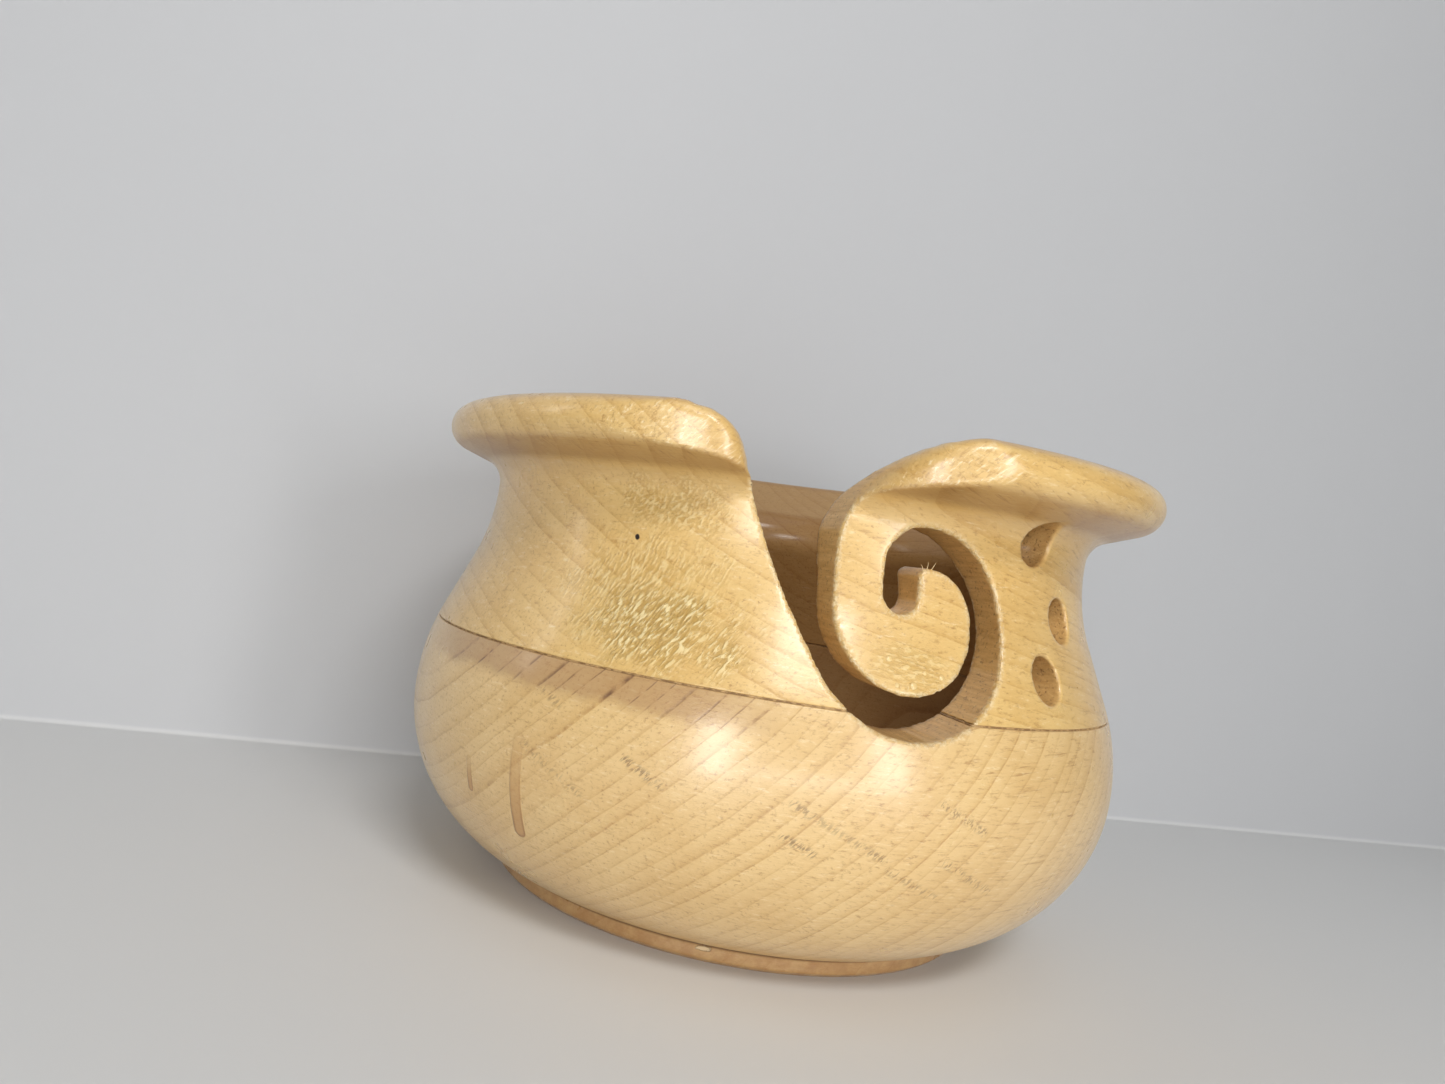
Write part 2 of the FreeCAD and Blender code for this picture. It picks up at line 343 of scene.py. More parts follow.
def settle(field, points, rounds=4):
    """Move points along the slope of the field until they lie on its surface."""
    reach = 0.02
    for _ in range(rounds):
        value = field(*points.T)
        slope = np.empty_like(points)
        for axis in range(3):
            step = np.zeros(3)
            step[axis] = reach
            slope[:, axis] = (field(*(points + step).T) - field(*(points - step).T)) / (2 * reach)
        steep = np.maximum((slope ** 2).sum(1), 0.25)
        move = np.clip(value / steep, -0.25, 0.25)
        points = points - move[:, None] * slope
    return points


def close_poles(points, faces):
    """Fill the small ring of open edges that the grid leaves round the axis."""
    ahead = faces.reshape(-1), np.roll(faces, -1, axis=1).reshape(-1)
    pairs = set(zip(*(a.tolist() for a in ahead)))
    open_edges = {a: b for a, b in pairs if (b, a) not in pairs}
    triangles = []
    while open_edges:
        first = next(iter(open_edges))
        ring = [first]
        while open_edges[ring[-1]] != first:
            ring.append(open_edges[ring[-1]])
        for each in ring:
            del open_edges[each]
        centre = points[ring].mean(0)
        points = np.vstack([points, centre])
        middle = len(points) - 1
        triangles += [(b, a, middle) for a, b in zip(ring, ring[1:] + ring[:1])]
    return points, triangles


HEART_HEIGHT = 60.0     # middle of the hollow: seen from here, the inside faces come first
HOLE_SIDE = 10.0        # the drilled holes lie beyond this x
LIP_FACE = 86.5         # the sanded front of the lip shows above this height


def near_zero(gap, reach):
    """1 where a distance is nothing, fading to 0 at its reach."""
    return np.clip(1 - np.abs(gap) / reach, 0, 1)


def surface_marks(points):
    """For each point, how much it lies on a cut face, its rim, the sanded lip or inside."""
    x, y, z = points.T
    radius = np.hypot(x, y)
    turned, sawing = TURNING(radius, z), SAWING(x, z)
    front = y < FRONT_ONLY
    drilled = np.zeros(len(points))
    for degrees, height in HOLES:
        turn = math.radians(degrees)
        aside = np.hypot(-x * math.cos(turn) - y * math.sin(turn), z - height)
        drilled = np.maximum(drilled, near_zero(aside - HOLE_RADIUS, 0.35))
    drilled = np.where(front & (x > HOLE_SIDE), drilled, 0)
    deep = np.clip(-turned / 0.5, 0, 1)
    sawn = np.where(front, near_zero(sawing, 0.45), 0) * np.clip((94.5 - z) / 5.0, 0, 1)
    sanded = near_zero(SANDING(x, y), 0.5) * np.clip((z - LIP_FACE) / 1.5, 0, 1)
    sanded = np.where(front & (radius < LIP_RADIUS - 0.1), sanded ** 0.5, 0)
    rim = near_zero(turned, 0.9) * np.where(front, near_zero(sawing, 0.9), 0)
    rim = rim * np.clip((95.5 - z) / 3.0, 0, 1)
    to_heart = np.hypot(radius, z - HEART_HEIGHT)
    part = 1 - 1.2 / np.maximum(to_heart, 1.2)
    nearer = TURNING(radius * part, HEART_HEIGHT + (z - HEART_HEIGHT) * part)
    return {"cut": np.maximum(sawn, drilled) ** 0.5 * deep, "bored": drilled * deep,
            "sanded": sanded, "rim": rim ** 0.5, "inside": np.clip((nearer + 0.4) / 0.8, 0, 1)}


def link(name, data):
    thing = bpy.data.objects.new(name, data)
    bpy.context.scene.collection.objects.link(thing)
    return thing


def piece(name, points, faces, triangles, material):
    mesh = bpy.data.meshes.new(name)
    polygons = faces.tolist() + triangles
    mesh.from_pydata((points * MM).tolist(), [], polygons)
    mesh.polygons.foreach_set("use_smooth", np.ones(len(polygons), bool))
    mesh.materials.append(material)
    for mark, values in surface_marks(points).items():
        attribute = mesh.attributes.new(mark, "FLOAT", "POINT")
        attribute.data.foreach_set("value", values.astype(np.float32))
    mesh.validate()
    thing = link(name, mesh)
    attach(thing, "root")
    return thing


# ---------------------------------------------------------------------------------------
# Materials
# ---------------------------------------------------------------------------------------
# Colours, as linear red, green, blue and alpha.
PALE_STREAK = (0.86, 0.70, 0.42, 1)
SAWN_PALE = (0.82, 0.51, 0.175, 1)
SAWN_BROWN = (0.60, 0.335, 0.095, 1)
SAWN_PIT = (0.13, 0.06, 0.02, 1)
# Stippled brown for the bores: partly end grain, partly painted shade.
BORE_GRAIN_AND_SHADE = (0.33, 0.165, 0.05, 1)
# Painted shade that darkens the inside of the hollow.
HOLLOW_PAINTED_SHADE = (0.54, 0.43, 0.34, 1)
TORN_EDGE = (0.93, 0.80, 0.52, 1)
CHECK_DARK = (0.17, 0.09, 0.04, 1)
BAND_BROWN = (0.37, 0.205, 0.095, 1)
BAND_TICK = (0.16, 0.08, 0.045, 1)
# Browner foot tone, partly painted shade under the belly.
FOOT_BROWN_AND_SHADE = (0.37, 0.185, 0.065, 1)
FOOT_CHIP = (0.74, 0.56, 0.32, 1)
# Painted shade in the hollow between the foot and the belly.
FOOT_SEAM_SHADE = (0.10, 0.05, 0.02, 1)
RUN_BODY = (0.49, 0.26, 0.085, 1)
RUN_RIM = (0.36, 0.17, 0.05, 1)
RUN_POOL = (0.27, 0.12, 0.03, 1)
TORN_GROUND = (0.66, 0.44, 0.13, 1)
TORN_DULL = (0.44, 0.26, 0.065, 1)
TORN_BRIGHT = (0.88, 0.72, 0.38, 1)
SANDED_PALE = (0.90, 0.76, 0.48, 1)
SANDED_DARK = (0.42, 0.23, 0.07, 1)
LIP_EDGE = (0.36, 0.18, 0.05, 1)
# Painted shade for the hollow under the lip.
COVE_PAINTED_SHADE = (0.52, 0.31, 0.10, 1)
KNOT_DARK = (0.03, 0.02, 0.015, 1)
GLUE_DARK = (0.26, 0.15, 0.06, 1)
GLUE_PALE = (0.48, 0.31, 0.14, 1)
FIBRE_PALE = (0.88, 0.74, 0.47, 1)
FIBRE_BROWN = (0.70, 0.48, 0.20, 1)
BEAD_PALE = (0.84, 0.66, 0.33, 1)
BEAD_BROWN = (0.66, 0.43, 0.16, 1)
FLOOR_PAINT = (0.66, 0.665, 0.66, 1)
FLOOR_PALE = (0.70, 0.70, 0.695, 1)
WALL_PAINT = (0.50, 0.505, 0.515, 1)
WALL_PALE = (0.53, 0.535, 0.545, 1)
STUDIO_AIR = (0.80, 0.82, 0.85, 1)


class Graph:
    """Short calls that add linked nodes to one material."""

    def __init__(self, name):
        self.material = bpy.data.materials.new(name)
        self.material.use_nodes = True
        self.tree = self.material.node_tree
        self.shader = self.tree.nodes["Principled BSDF"]
        self.place = self.add("ShaderNodeTexCoord").outputs["Object"]

    def add(self, kind, inputs=(), **settings):
        node = self.tree.nodes.new(kind)
        for name, value in settings.items():
            setattr(node, name, value)
        for socket, value in dict(inputs).items():
            self.feed(node.inputs[socket], value)
        return node

    def feed(self, socket, value):
        if isinstance(value, bpy.types.NodeSocket):
            self.tree.links.new(value, socket)
        else:
            socket.default_value = value

    def math(self, operation, *values, clamp=False):
        node = self.add("ShaderNodeMath", operation=operation, use_clamp=clamp)
        for socket, value in zip(node.inputs, values):
            self.feed(socket, value)
        return node.outputs[0]

    def vector(self, operation, *values):
        node = self.add("ShaderNodeVectorMath", operation=operation)
        for socket, value in zip(node.inputs, values):
            self.feed(socket, value)
        return node.outputs["Value" if operation in ("DOT_PRODUCT", "LENGTH") else "Vector"]

    def combine(self, x, y, z):
        return self.add("ShaderNodeCombineXYZ", {0: x, 1: y, 2: z}).outputs[0]

    def noise(self, place, scale, detail=2.0, roughness=0.5):
        node = self.add("ShaderNodeTexNoise", {"Vector": place, "Scale": scale, "Detail": detail,
                                               "Roughness": roughness})
        return node.outputs["Fac"]

    def span(self, value, low, high, to_low=0.0, to_high=1.0):
        """Map a range of values smoothly to another, held at its ends."""
        node = self.add("ShaderNodeMapRange", {0: value, 1: low, 2: high, 3: to_low, 4: to_high},
                        interpolation_type="SMOOTHSTEP")
        return node.outputs[0]

    def mix(self, amount, first, second, blend="MIX"):
        node = self.add("ShaderNodeMix", data_type="RGBA", blend_type=blend)
        for socket, value in zip((node.inputs[0], node.inputs[6], node.inputs[7]),
                                 (amount, first, second)):
            self.feed(socket, value)
        return node.outputs[2]

    def stain(self, colour, mask, amount, tint):
        """Tint a colour by an amount where a mask says so."""
        return self.mix(self.math("MULTIPLY", mask, amount), colour, tint)

    def bump(self, height, distance):
        inputs = {"Height": height, "Distance": distance, "Strength": 1.0}
        return self.add("ShaderNodeBump", inputs).outputs[0]

    def finish(self, colour, roughness, normal=None, **constants):
        self.feed(self.shader.inputs["Base Color"], colour)
        self.feed(self.shader.inputs["Roughness"], roughness)
        if normal is not None:
            self.feed(self.shader.inputs["Normal"], normal)
        for name, value in constants.items():
            self.shader.inputs[name.replace("_", " ")].default_value = value
        return self.material


# Each blank's growth rings are cylinders round its own pith line, in millimetres.
UPPER_PITH, UPPER_HEADING = (53.7, 28.6, 140.6), (0.313, 0.900, -0.303)
LOWER_PITH, LOWER_HEADING = (-121.0, -19.0, 67.0), (-0.453, 0.626, -0.635)
UPPER_GRAIN = (0.80, 0.55, -0.16)       # the way the long fibres run on the upper blank
LOWER_GRAIN = (0.92, 0.38, 0.06)


class Wood(Graph):
    """Lacquered pale wood: growth rings, fibres, tool marks, bare sawn faces and stains."""

    def __init__(self, name, pale, honey, brown):
        super().__init__(name)
        self.mm = self.scaled(self.place, 1 / MM)
        self.x, self.y, self.z = self.split(self.mm)
        self.pale, self.honey, self.brown = ((*tone, 1.0) for tone in (pale, honey, brown))
        self.cut = self.mark("cut")
        self.inside = self.mark("inside")
        self.height = 0.0

    def scaled(self, place, amount):
        node = self.add("ShaderNodeVectorMath", {0: place, "Scale": amount}, operation="SCALE")
        return node.outputs[0]

    def split(self, place):
        return self.add("ShaderNodeSeparateXYZ", {0: place}).outputs[:]

    def mark(self, name):
        return self.add("ShaderNodeAttribute", attribute_name=name).outputs["Fac"]

    def patch(self, centre, size, soft=0.5, ragged=0.0, scale=0.3):
        """1 inside a ball-like region of given half sizes, fading out towards its rim."""
        away = self.vector("DIVIDE", self.vector("SUBTRACT", self.mm, centre), size)
        reach = self.vector("LENGTH", away)
        if ragged:
            wander = self.math("SUBTRACT", self.noise(self.mm, scale, 3.0), 0.5)
            reach = self.math("MULTIPLY_ADD", wander, ragged, reach)
        return self.span(reach, 1.0, 1.0 - soft)

    def capsule(self, start, end):
        """Distance from a straight line between two places."""
        start, end = np.array(start, float), np.array(end, float)
        line = end - start
        from_start = self.vector("SUBTRACT", self.mm, tuple(start))
        reach = self.vector("DOT_PRODUCT", from_start, tuple(line / (line @ line)))
        along = self.math("MULTIPLY", reach, 1.0, clamp=True)
        node = self.add("ShaderNodeVectorMath", {0: tuple(line), "Scale": along}, operation="SCALE")
        return self.vector("LENGTH", self.vector("SUBTRACT", from_start, node.outputs[0]))

    def stretched(self, along, length, width, seed=0.0):
        """Place measured in fibres of a given length and width along a direction."""
        along = Vector(along).normalized()
        turn = along.to_track_quat("X", "Z").inverted().to_euler()
        # A Mapping node scales before it turns, so turning takes a node of its own.
        turned = self.add("ShaderNodeMapping", {"Vector": self.mm, "Rotation": turn}).outputs[0]
        scale = (1 / length, 1 / width, 1 / width)
        node = self.add("ShaderNodeMapping", {"Vector": turned, "Location": (seed, seed, seed),
                                              "Scale": scale})
        return node.outputs[0]

    def rings(self, pith, heading, spacing, warp):
        """How far across its growth ring each place is, 0 to 1, and the ring's number."""
        heading = tuple(Vector(heading).normalized())
        from_pith = self.vector("SUBTRACT", self.mm, pith)
        reach = self.vector("LENGTH", self.vector("CROSS_PRODUCT", from_pith, heading))
        sway = self.math("SUBTRACT", self.noise(self.mm, 0.022, 2.0), 0.5)
        jitter = self.math("SUBTRACT", self.noise(self.mm, 0.16, 2.0), 0.5)
        reach = self.math("MULTIPLY_ADD", sway, warp * 8.0, reach)
        reach = self.math("MULTIPLY_ADD", jitter, warp, reach)
        count = self.math("DIVIDE", reach, spacing)
        uneven = self.add("ShaderNodeTexNoise", {"W": count, "Scale": 0.55, "Detail": 1.0},
                          noise_dimensions="1D").outputs["Fac"]
        count = self.math("MULTIPLY_ADD", uneven, 0.9, count)
        return self.math("FRACT", count), self.math("FLOOR", count)

    def add_height(self, value, amount):
        """Add relief, in millimetres."""
        self.height = self.math("MULTIPLY_ADD", value, amount, self.height)


def wood_base(wood, pith, heading, spacing, warp, line_strength):
    """Rings, their thin dark edges and the mottled shimmer between them."""
    across, number = wood.rings(pith, heading, spacing, warp)
    ring_tone = wood.add("ShaderNodeTexWhiteNoise", {"W": number},
                         noise_dimensions="1D").outputs["Value"]
    late = wood.math("POWER", across, 3.0)
    band = wood.math("MULTIPLY", late, wood.math("MULTIPLY_ADD", ring_tone, 0.75, 0.30))
    colour = wood.mix(band, wood.pale, wood.honey)

    rise, fall = wood.span(across, 0.84, 0.955), wood.span(across, 1.0, 0.965)
    broken = wood.span(wood.noise(wood.mm, 0.55, 3.0), 0.34, 0.62)
    line = wood.math("MULTIPLY", wood.math("MULTIPLY", rise, fall), broken)
    line = wood.math("MULTIPLY", line, wood.math("MULTIPLY_ADD", ring_tone, 0.55, 0.45))
    colour = wood.stain(colour, line, line_strength, wood.brown)
    wood.add_height(line, -0.03)

    mottle = wood.span(wood.noise(wood.mm, 0.075, 4.0, 0.6), 0.3, 0.72)
    colour = wood.stain(colour, mottle, 0.48, wood.honey)
    return colour, line


def flecks(wood, colour, along, strength):
    """Short fibres and pores along the grain, and the lathe's fine rings round the bowl."""
    fibre = wood.noise(wood.stretched(along, 9.0, 0.60), 1.0, 4.0, 0.72)
    dark = wood.math("MULTIPLY", wood.span(fibre, 0.53, 0.72), 0.50 * strength)
    light = wood.math("MULTIPLY", wood.span(fibre, 0.46, 0.28), 0.45 * strength)
    colour = wood.mix(dark, colour, wood.brown)
    colour = wood.mix(light, colour, wood.pale)

    reach = wood.vector("LENGTH", wood.combine(wood.x, wood.y, 0.0))
    climb = wood.math("MULTIPLY_ADD", reach, 0.8, wood.z)
    turned = wood.combine(wood.math("MULTIPLY", wood.x, 0.36), wood.math("MULTIPLY", wood.y, 0.36),
                          wood.math("MULTIPLY", climb, 1.9))
    marks = wood.noise(turned, 1.0, 4.0, 0.75)
    dark = wood.math("MULTIPLY", wood.span(marks, 0.54, 0.74), 0.42 * strength)
    light = wood.math("MULTIPLY", wood.span(marks, 0.45, 0.27), 0.36 * strength)
    colour = wood.mix(dark, colour, wood.brown)
    colour = wood.mix(light, colour, PALE_STREAK)
    wood.add_height(marks, 0.07)
    wood.add_height(fibre, 0.05)
    return colour


def sawn_faces(wood, colour):
    """Bare wood where the saw and the drill went: duller, browner and rough. The bores also get a
    stippled brown, partly end grain and partly painted shade.
    """
    saw = wood.combine(wood.math("MULTIPLY", wood.x, 1.5), wood.math("MULTIPLY", wood.y, 0.12),
                       wood.math("MULTIPLY", wood.z, 1.5))
    ridges = wood.noise(saw, 1.0, 4.0, 0.65)
    pits = wood.span(wood.noise(wood.mm, 1.5, 3.0, 0.7), 0.56, 0.68)
    bare = wood.mix(wood.span(ridges, 0.30, 0.72), SAWN_PALE, SAWN_BROWN)
    bare = wood.mix(wood.math("MULTIPLY", pits, 0.55), bare, SAWN_PIT)
    wood.add_height(wood.math("MULTIPLY", ridges, wood.cut), 0.16)
    wood.add_height(wood.math("MULTIPLY", pits, wood.cut), -0.10)
    colour = wood.stain(colour, wood.cut, 0.72, bare)
    # Painted shade with end-grain stipple on the walls of the drilled holes.
    bore_darkening = wood.math("MULTIPLY", wood.mark("bored"), wood.math("MULTIPLY_ADD", pits, 0.45, 0.40))
    return wood.mix(bore_darkening, colour, BORE_GRAIN_AND_SHADE)


def paint_hollow_shade(wood, colour):
    """The hollow is the same wood, darkened browner as painted shade."""
    # Painted shade: the inside faces are multiplied darker.
    return wood.mix(wood.inside, colour, HOLLOW_PAINTED_SHADE, blend="MULTIPLY")


def frayed_edge(wood, colour):
    """Pale torn fibres along the rims of the saw cut."""
    rim = wood.mark("rim")
    torn = wood.span(wood.noise(wood.mm, 1.3, 4.0, 0.7), 0.42, 0.60)
    torn = wood.math("MULTIPLY", rim, torn)
    wood.add_height(torn, 0.10)
    return wood.stain(colour, torn, 0.6, TORN_EDGE)


def finish_wood(wood, colour):
    """A coat of lacquer all over, on wood that is rougher where cut and in the hollow."""
    wear = wood.span(wood.noise(wood.mm, 0.11, 3.0), 0.3, 0.7)
    sheen = wood.math("MULTIPLY_ADD", wear, 0.10, 0.27)
    bare = wood.math("MAXIMUM", wood.cut, wood.math("MULTIPLY", wood.inside, 0.75))
    roughness = wood.add("ShaderNodeMix", {0: bare, 2: sheen, 3: 0.75}).outputs[0]
    return wood.finish(colour, roughness, wood.bump(wood.height, MM),
                       Coat_Weight=0.60, Coat_Roughness=0.19)


def wall_radius(height):
    """The outside radius of the turned wall at a height."""
    radius = np.linspace(40.0, 80.0, 801)
    return radius[TURNING(radius, np.full_like(radius, height)) < 0].max()


def on_wall(degrees, height):
    """A place on the outside of the bowl, in millimetres."""
    wall, turn = wall_radius(height), math.radians(degrees)
    return wall * math.sin(turn), -wall * math.cos(turn), height


def in_from_rim(pulley, lean, depth):
    """Degrees round and height of a place in the wood, a depth in from a pulley of the slot.

    The lean is measured at the pulley's middle, from straight up towards +X.
    """
    x, z, radius = pulley
    reach, turn = abs(radius) - depth, math.radians(lean)
    height = z + reach * math.cos(turn)
    return math.degrees(math.asin((x + reach * math.sin(turn)) / wall_radius(height))), height


def scatter(count, *ranges):
    """Repeatable random rows, with one value drawn from each range."""
    rng = np.random.default_rng(SEED)
    return [[rng.uniform(*limits) for limits in ranges] for _ in range(count)]


def checks(wood, colour):
    """Scattered rows of dark specks: small drying cracks in the lower blank."""
    ticks = wood.noise(wood.stretched((0.60, -0.30, 0.74), 1.8, 0.42), 1.0, 3.0, 0.6)
    broken = wood.span(ticks, 0.48, 0.60)
    for degrees, height, across, strength in scatter(8, (-56, 10), (26, 49), (2, 14), (0.5, 1.0)):
        end = on_wall(degrees + across, height - 0.6 * across)
        gap = wood.capsule(on_wall(degrees, height), end)
        row = wood.span(gap, 1.25, 0.1)
        row = wood.math("MULTIPLY", wood.math("MULTIPLY", row, broken), 0.75 * strength)
        colour = wood.mix(row, colour, CHECK_DARK)
    return colour


def stained_top(wood, colour, line):
    """The brownish band under the joint at the left, darkest along the growth lines."""
    ragged = wood.math("MULTIPLY_ADD", wood.noise(wood.mm, 0.18, 3.0), 3.0, wood.z)
    band = wood.span(ragged, 47.6, 50.6)
    left = wood.span(wood.x, -14.0, -34.0)
    front = wood.span(wood.y, -8.0, -30.0)
    band = wood.math("MULTIPLY", band, wood.math("MULTIPLY", left, front))
    colour = wood.stain(colour, band, 0.60, BAND_BROWN)
    ticks = wood.math("MULTIPLY", band, line)
    return wood.mix(ticks, colour, BAND_TICK)


def foot_tone_and_shade(wood, colour):
    """The foot painted darker, with blotches: partly its own browner tone, partly painted shade
    under the belly. The dark line above it is painted shade in the hollow.
    """
    # Darker foot: its own browner tone together with painted shade.
    foot = wood.span(wood.z, 5.0, 4.2)
    blotch = wood.span(wood.noise(wood.mm, 0.35, 4.0, 0.65), 0.3, 0.7)
    colour = wood.mix(wood.math("MULTIPLY", foot, wood.math("MULTIPLY_ADD", blotch, 0.30, 0.58)),
                      colour, FOOT_BROWN_AND_SHADE)
    chip = wood.patch((-17.9, -50.1, 2.9), (1.7, 1.7, 0.6), soft=0.4, ragged=1.3, scale=1.6)
    colour = wood.stain(colour, chip, 0.75, FOOT_CHIP)
    wood.add_height(chip, -0.3)
    # Painted shade: a dark line in the hollow above the foot.
    seam_shade = wood.math("MULTIPLY", wood.span(wood.z, 3.1, 3.7), wood.span(wood.z, 4.9, 4.3))
    return wood.stain(colour, seam_shade, 0.8, FOOT_SEAM_SHADE)


def varnish_runs(wood, colour):
    """Two brown runs down the left of the belly, each darker round its lower end."""
    for degrees, top, bottom, width, strength in ((-58.5, 31, 25.5, 0.80, 0.90),
                                                  (-48.5, 38, 21, 1.45, 0.85)):
        places = [(degrees, height) for height in np.linspace(top, bottom, 6)]
        gap = 1000.0
        for start, end in zip(places, places[1:]):
            gap = wood.math("MINIMUM", gap, wood.capsule(on_wall(*start), on_wall(*end)))
        fade = wood.span(wood.z, top + 1.0, bottom, 0.25, 1.0)
        run = wood.math("MULTIPLY", wood.span(gap, width, 0.80 * width), fade)
        rim = wood.math("MULTIPLY", run, wood.span(gap, 0.40 * width, 0.85 * width))
        pool = wood.math("MULTIPLY", rim, wood.span(wood.z, bottom + 6.0, bottom + 1.0))
        colour = wood.stain(colour, run, strength, RUN_BODY)
        colour = wood.stain(colour, rim, 0.35, RUN_RIM)
        colour = wood.stain(colour, pool, 0.55, RUN_POOL)
        wood.add_height(run, 0.12)
    return colour


def torn_grain(wood, colour, centre, size, strength, slope):
    """A patch where the lathe tore the fibres: short slanting flecks, bright and dark."""
    here = wood.patch(centre, size, soft=0.7, ragged=1.3, scale=0.20)
    flecks_at = wood.stretched(slope, 1.5, 0.52, seed=3.0)
    fleck = wood.noise(flecks_at, 1.0, 2.0, 0.5)
    bright = wood.math("MULTIPLY", wood.span(fleck, 0.54, 0.60), here)
    dull = wood.math("MULTIPLY", wood.span(fleck, 0.50, 0.43), here)
    colour = wood.stain(colour, here, 0.35 * strength, TORN_GROUND)
    colour = wood.stain(colour, dull, 0.62 * strength, TORN_DULL)
    colour = wood.stain(colour, bright, 0.85 * strength, TORN_BRIGHT)
    wood.add_height(bright, 0.12 * strength)
    wood.add_height(dull, -0.10 * strength)
    return colour


def sanded_lip(wood, colour):
    """Slanting scratches on the sanded front of the lip, and its darker top edge."""
    sanded = wood.mark("sanded")
    scratch = wood.noise(wood.stretched((0.74, 0.1, 0.66), 14.0, 0.62), 1.0, 3.0, 0.7)
    wood.add_height(wood.math("MULTIPLY", scratch, sanded), 0.10)
    light = wood.math("MULTIPLY", wood.span(scratch, 0.55, 0.68), sanded)
    dark = wood.math("MULTIPLY", wood.span(scratch, 0.46, 0.34), sanded)
    colour = wood.stain(colour, light, 0.62, SANDED_PALE)
    colour = wood.stain(colour, dark, 0.55, SANDED_DARK)
    edge = wood.math("MULTIPLY", wood.span(wood.z, 96.4, 97.7), 0.42)
    return wood.mix(edge, colour, LIP_EDGE)


def shaded_cove(wood, colour):
    """Painted shade in the hollow under the lip: a browner tint between two heights, inside a
    radius.
    """
    reach = wood.vector("LENGTH", wood.combine(wood.x, wood.y, 0.0))
    # Painted shade: darker in the cove under the lip.
    cove = wood.math("MULTIPLY", wood.span(wood.z, 83.0, 87.0), wood.span(reach, 73.5, 68.0))
    return wood.stain(colour, cove, 0.38, COVE_PAINTED_SHADE)


def pin_knot(wood, colour):
    """A tiny dark knot on the shoulder."""
    gap = wood.capsule(on_wall(-40.1, 75.4), on_wall(-40.0, 75.2))
    colour = wood.mix(wood.span(gap, 0.48, 0.30), colour, KNOT_DARK)
    wood.add_height(wood.span(gap, 0.48, 0.25), -0.25)
    return colour


# Patches of torn grain: centre and half sizes in millimetres, strength and fleck direction.
TORN_PATCHES = [
    ((-42.0, -52.0, 66.0), (24.0, 20.0, 14.0), 0.5, (0.40, 0.1, 0.88)),     # round the next one
    ((-37.0, -57.0, 61.0), (22.0, 18.0, 9.5), 1.0, (0.62, 0.1, 0.78)),      # left shoulder
    ((-37.0, -54.0, 81.5), (13.0, 14.0, 6.0), 0.55, (0.75, 0.1, 0.66)),     # left, under the lip
    ((2.0, -71.0, 60.5), (10.0, 9.0, 5.0), 0.45, (1.0, 0.1, -0.2)),         # low on the curl
]


def lower_wood():
    wood = Wood("lower_wood", pale=(0.74, 0.52, 0.240), honey=(0.62, 0.390, 0.150),
                brown=(0.40, 0.21, 0.075))
    colour, line = wood_base(wood, LOWER_PITH, LOWER_HEADING, 2.9, 0.40, 0.50)
    colour = flecks(wood, colour, LOWER_GRAIN, 1.45)
    colour = stained_top(wood, colour, line)
    colour = checks(wood, colour)
    colour = varnish_runs(wood, colour)
    colour = foot_tone_and_shade(wood, colour)
    colour = paint_hollow_shade(wood, colour)
    colour = sawn_faces(wood, colour)
    colour = frayed_edge(wood, colour)
    return finish_wood(wood, colour)


def upper_wood():
    wood = Wood("upper_wood", pale=(0.75, 0.515, 0.205), honey=(0.62, 0.375, 0.115),
                brown=(0.42, 0.22, 0.065))
    colour, _ = wood_base(wood, UPPER_PITH, UPPER_HEADING, 3.3, 0.5, 0.36)
    colour = flecks(wood, colour, UPPER_GRAIN, 1.55)
    colour = shaded_cove(wood, colour)
    for centre, size, strength, slope in TORN_PATCHES:
        colour = torn_grain(wood, colour, centre, size, strength, slope)
    colour = sanded_lip(wood, colour)
    colour = pin_knot(wood, colour)
    colour = paint_hollow_shade(wood, colour)
    colour = sawn_faces(wood, colour)
    colour = frayed_edge(wood, colour)
    return finish_wood(wood, colour)


def glue():
    graph = Graph("glue")
    dots = graph.span(graph.noise(graph.place, 900.0, 2.0), 0.4, 0.6)
    tint = graph.mix(dots, GLUE_DARK, GLUE_PALE)
    return graph.finish(tint, 0.55)


# ---------------------------------------------------------------------------------------
# Pieces
# ---------------------------------------------------------------------------------------
def upper_ring(material):
    degrees = graded([(-57, 0), (41, 0.5), (60, 1.0), (80, 1.8), (284, 2.9), (296, 1.6),
                      (302.5, 0.9)])
    radii = graded([(50, 0), (77.5, 0.54)])
    heights = graded([(52.3, 0), (53.0, 0.15), (53.6, 0.12), (54.2, 0.3), (99, 0.54)])
    field = slab_field(GLUE_HIGH, BOWL_HEIGHT + 50, 0.12)
    ring = piece("upper_ring_wood", *net(field, degrees, radii, heights), [], material)
    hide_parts("upper_ring")


def lower_bowl(material):
    degrees = graded([(-18, 0), (24, 0.5), (34, 1.0), (44, 1.8), (322, 2.0), (334, 1.5),
                      (341.5, 0.9)])
    radii = graded([(1, 0), (50, 1.6), (56, 0.5), (77.5, 0.5)])
    heights = graded([(-0.6, 0), (6.2, 0.35), (44, 1.0), (52.3, 0.5), (53.5, 0.15)])
    field = slab_field(-50.0, GLUE_LOW, 0.12)
    points, faces = net(field, degrees, radii, heights)
    points, triangles = close_poles(points, faces)
    bowl = piece("lower_bowl_wood", points, faces, triangles, material)
    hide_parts("lower_bowl")


def glue_line(material):
    degrees = graded([(-18, 0), (24, 0.5), (44, 1.2), (322, 2.0), (341.5, 1.2)])
    radii = graded([(55, 0), (59.5, 0.6), (71, 1.0), (77.5, 0.5)])
    heights = graded([(52.5, 0), (53.5, 0.1)])
    field = slab_field(GLUE_LOW + 0.02, GLUE_HIGH - 0.02, 0.05, recess=0.03)
    film = piece("glue_line", *net(field, degrees, radii, heights), [], material)
    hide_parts("glue_film")


FIBRE_LENGTH = 2.0
ROOT_DEPTH = 0.4        # how far into the wood a fibre starts, clear of the eased edge


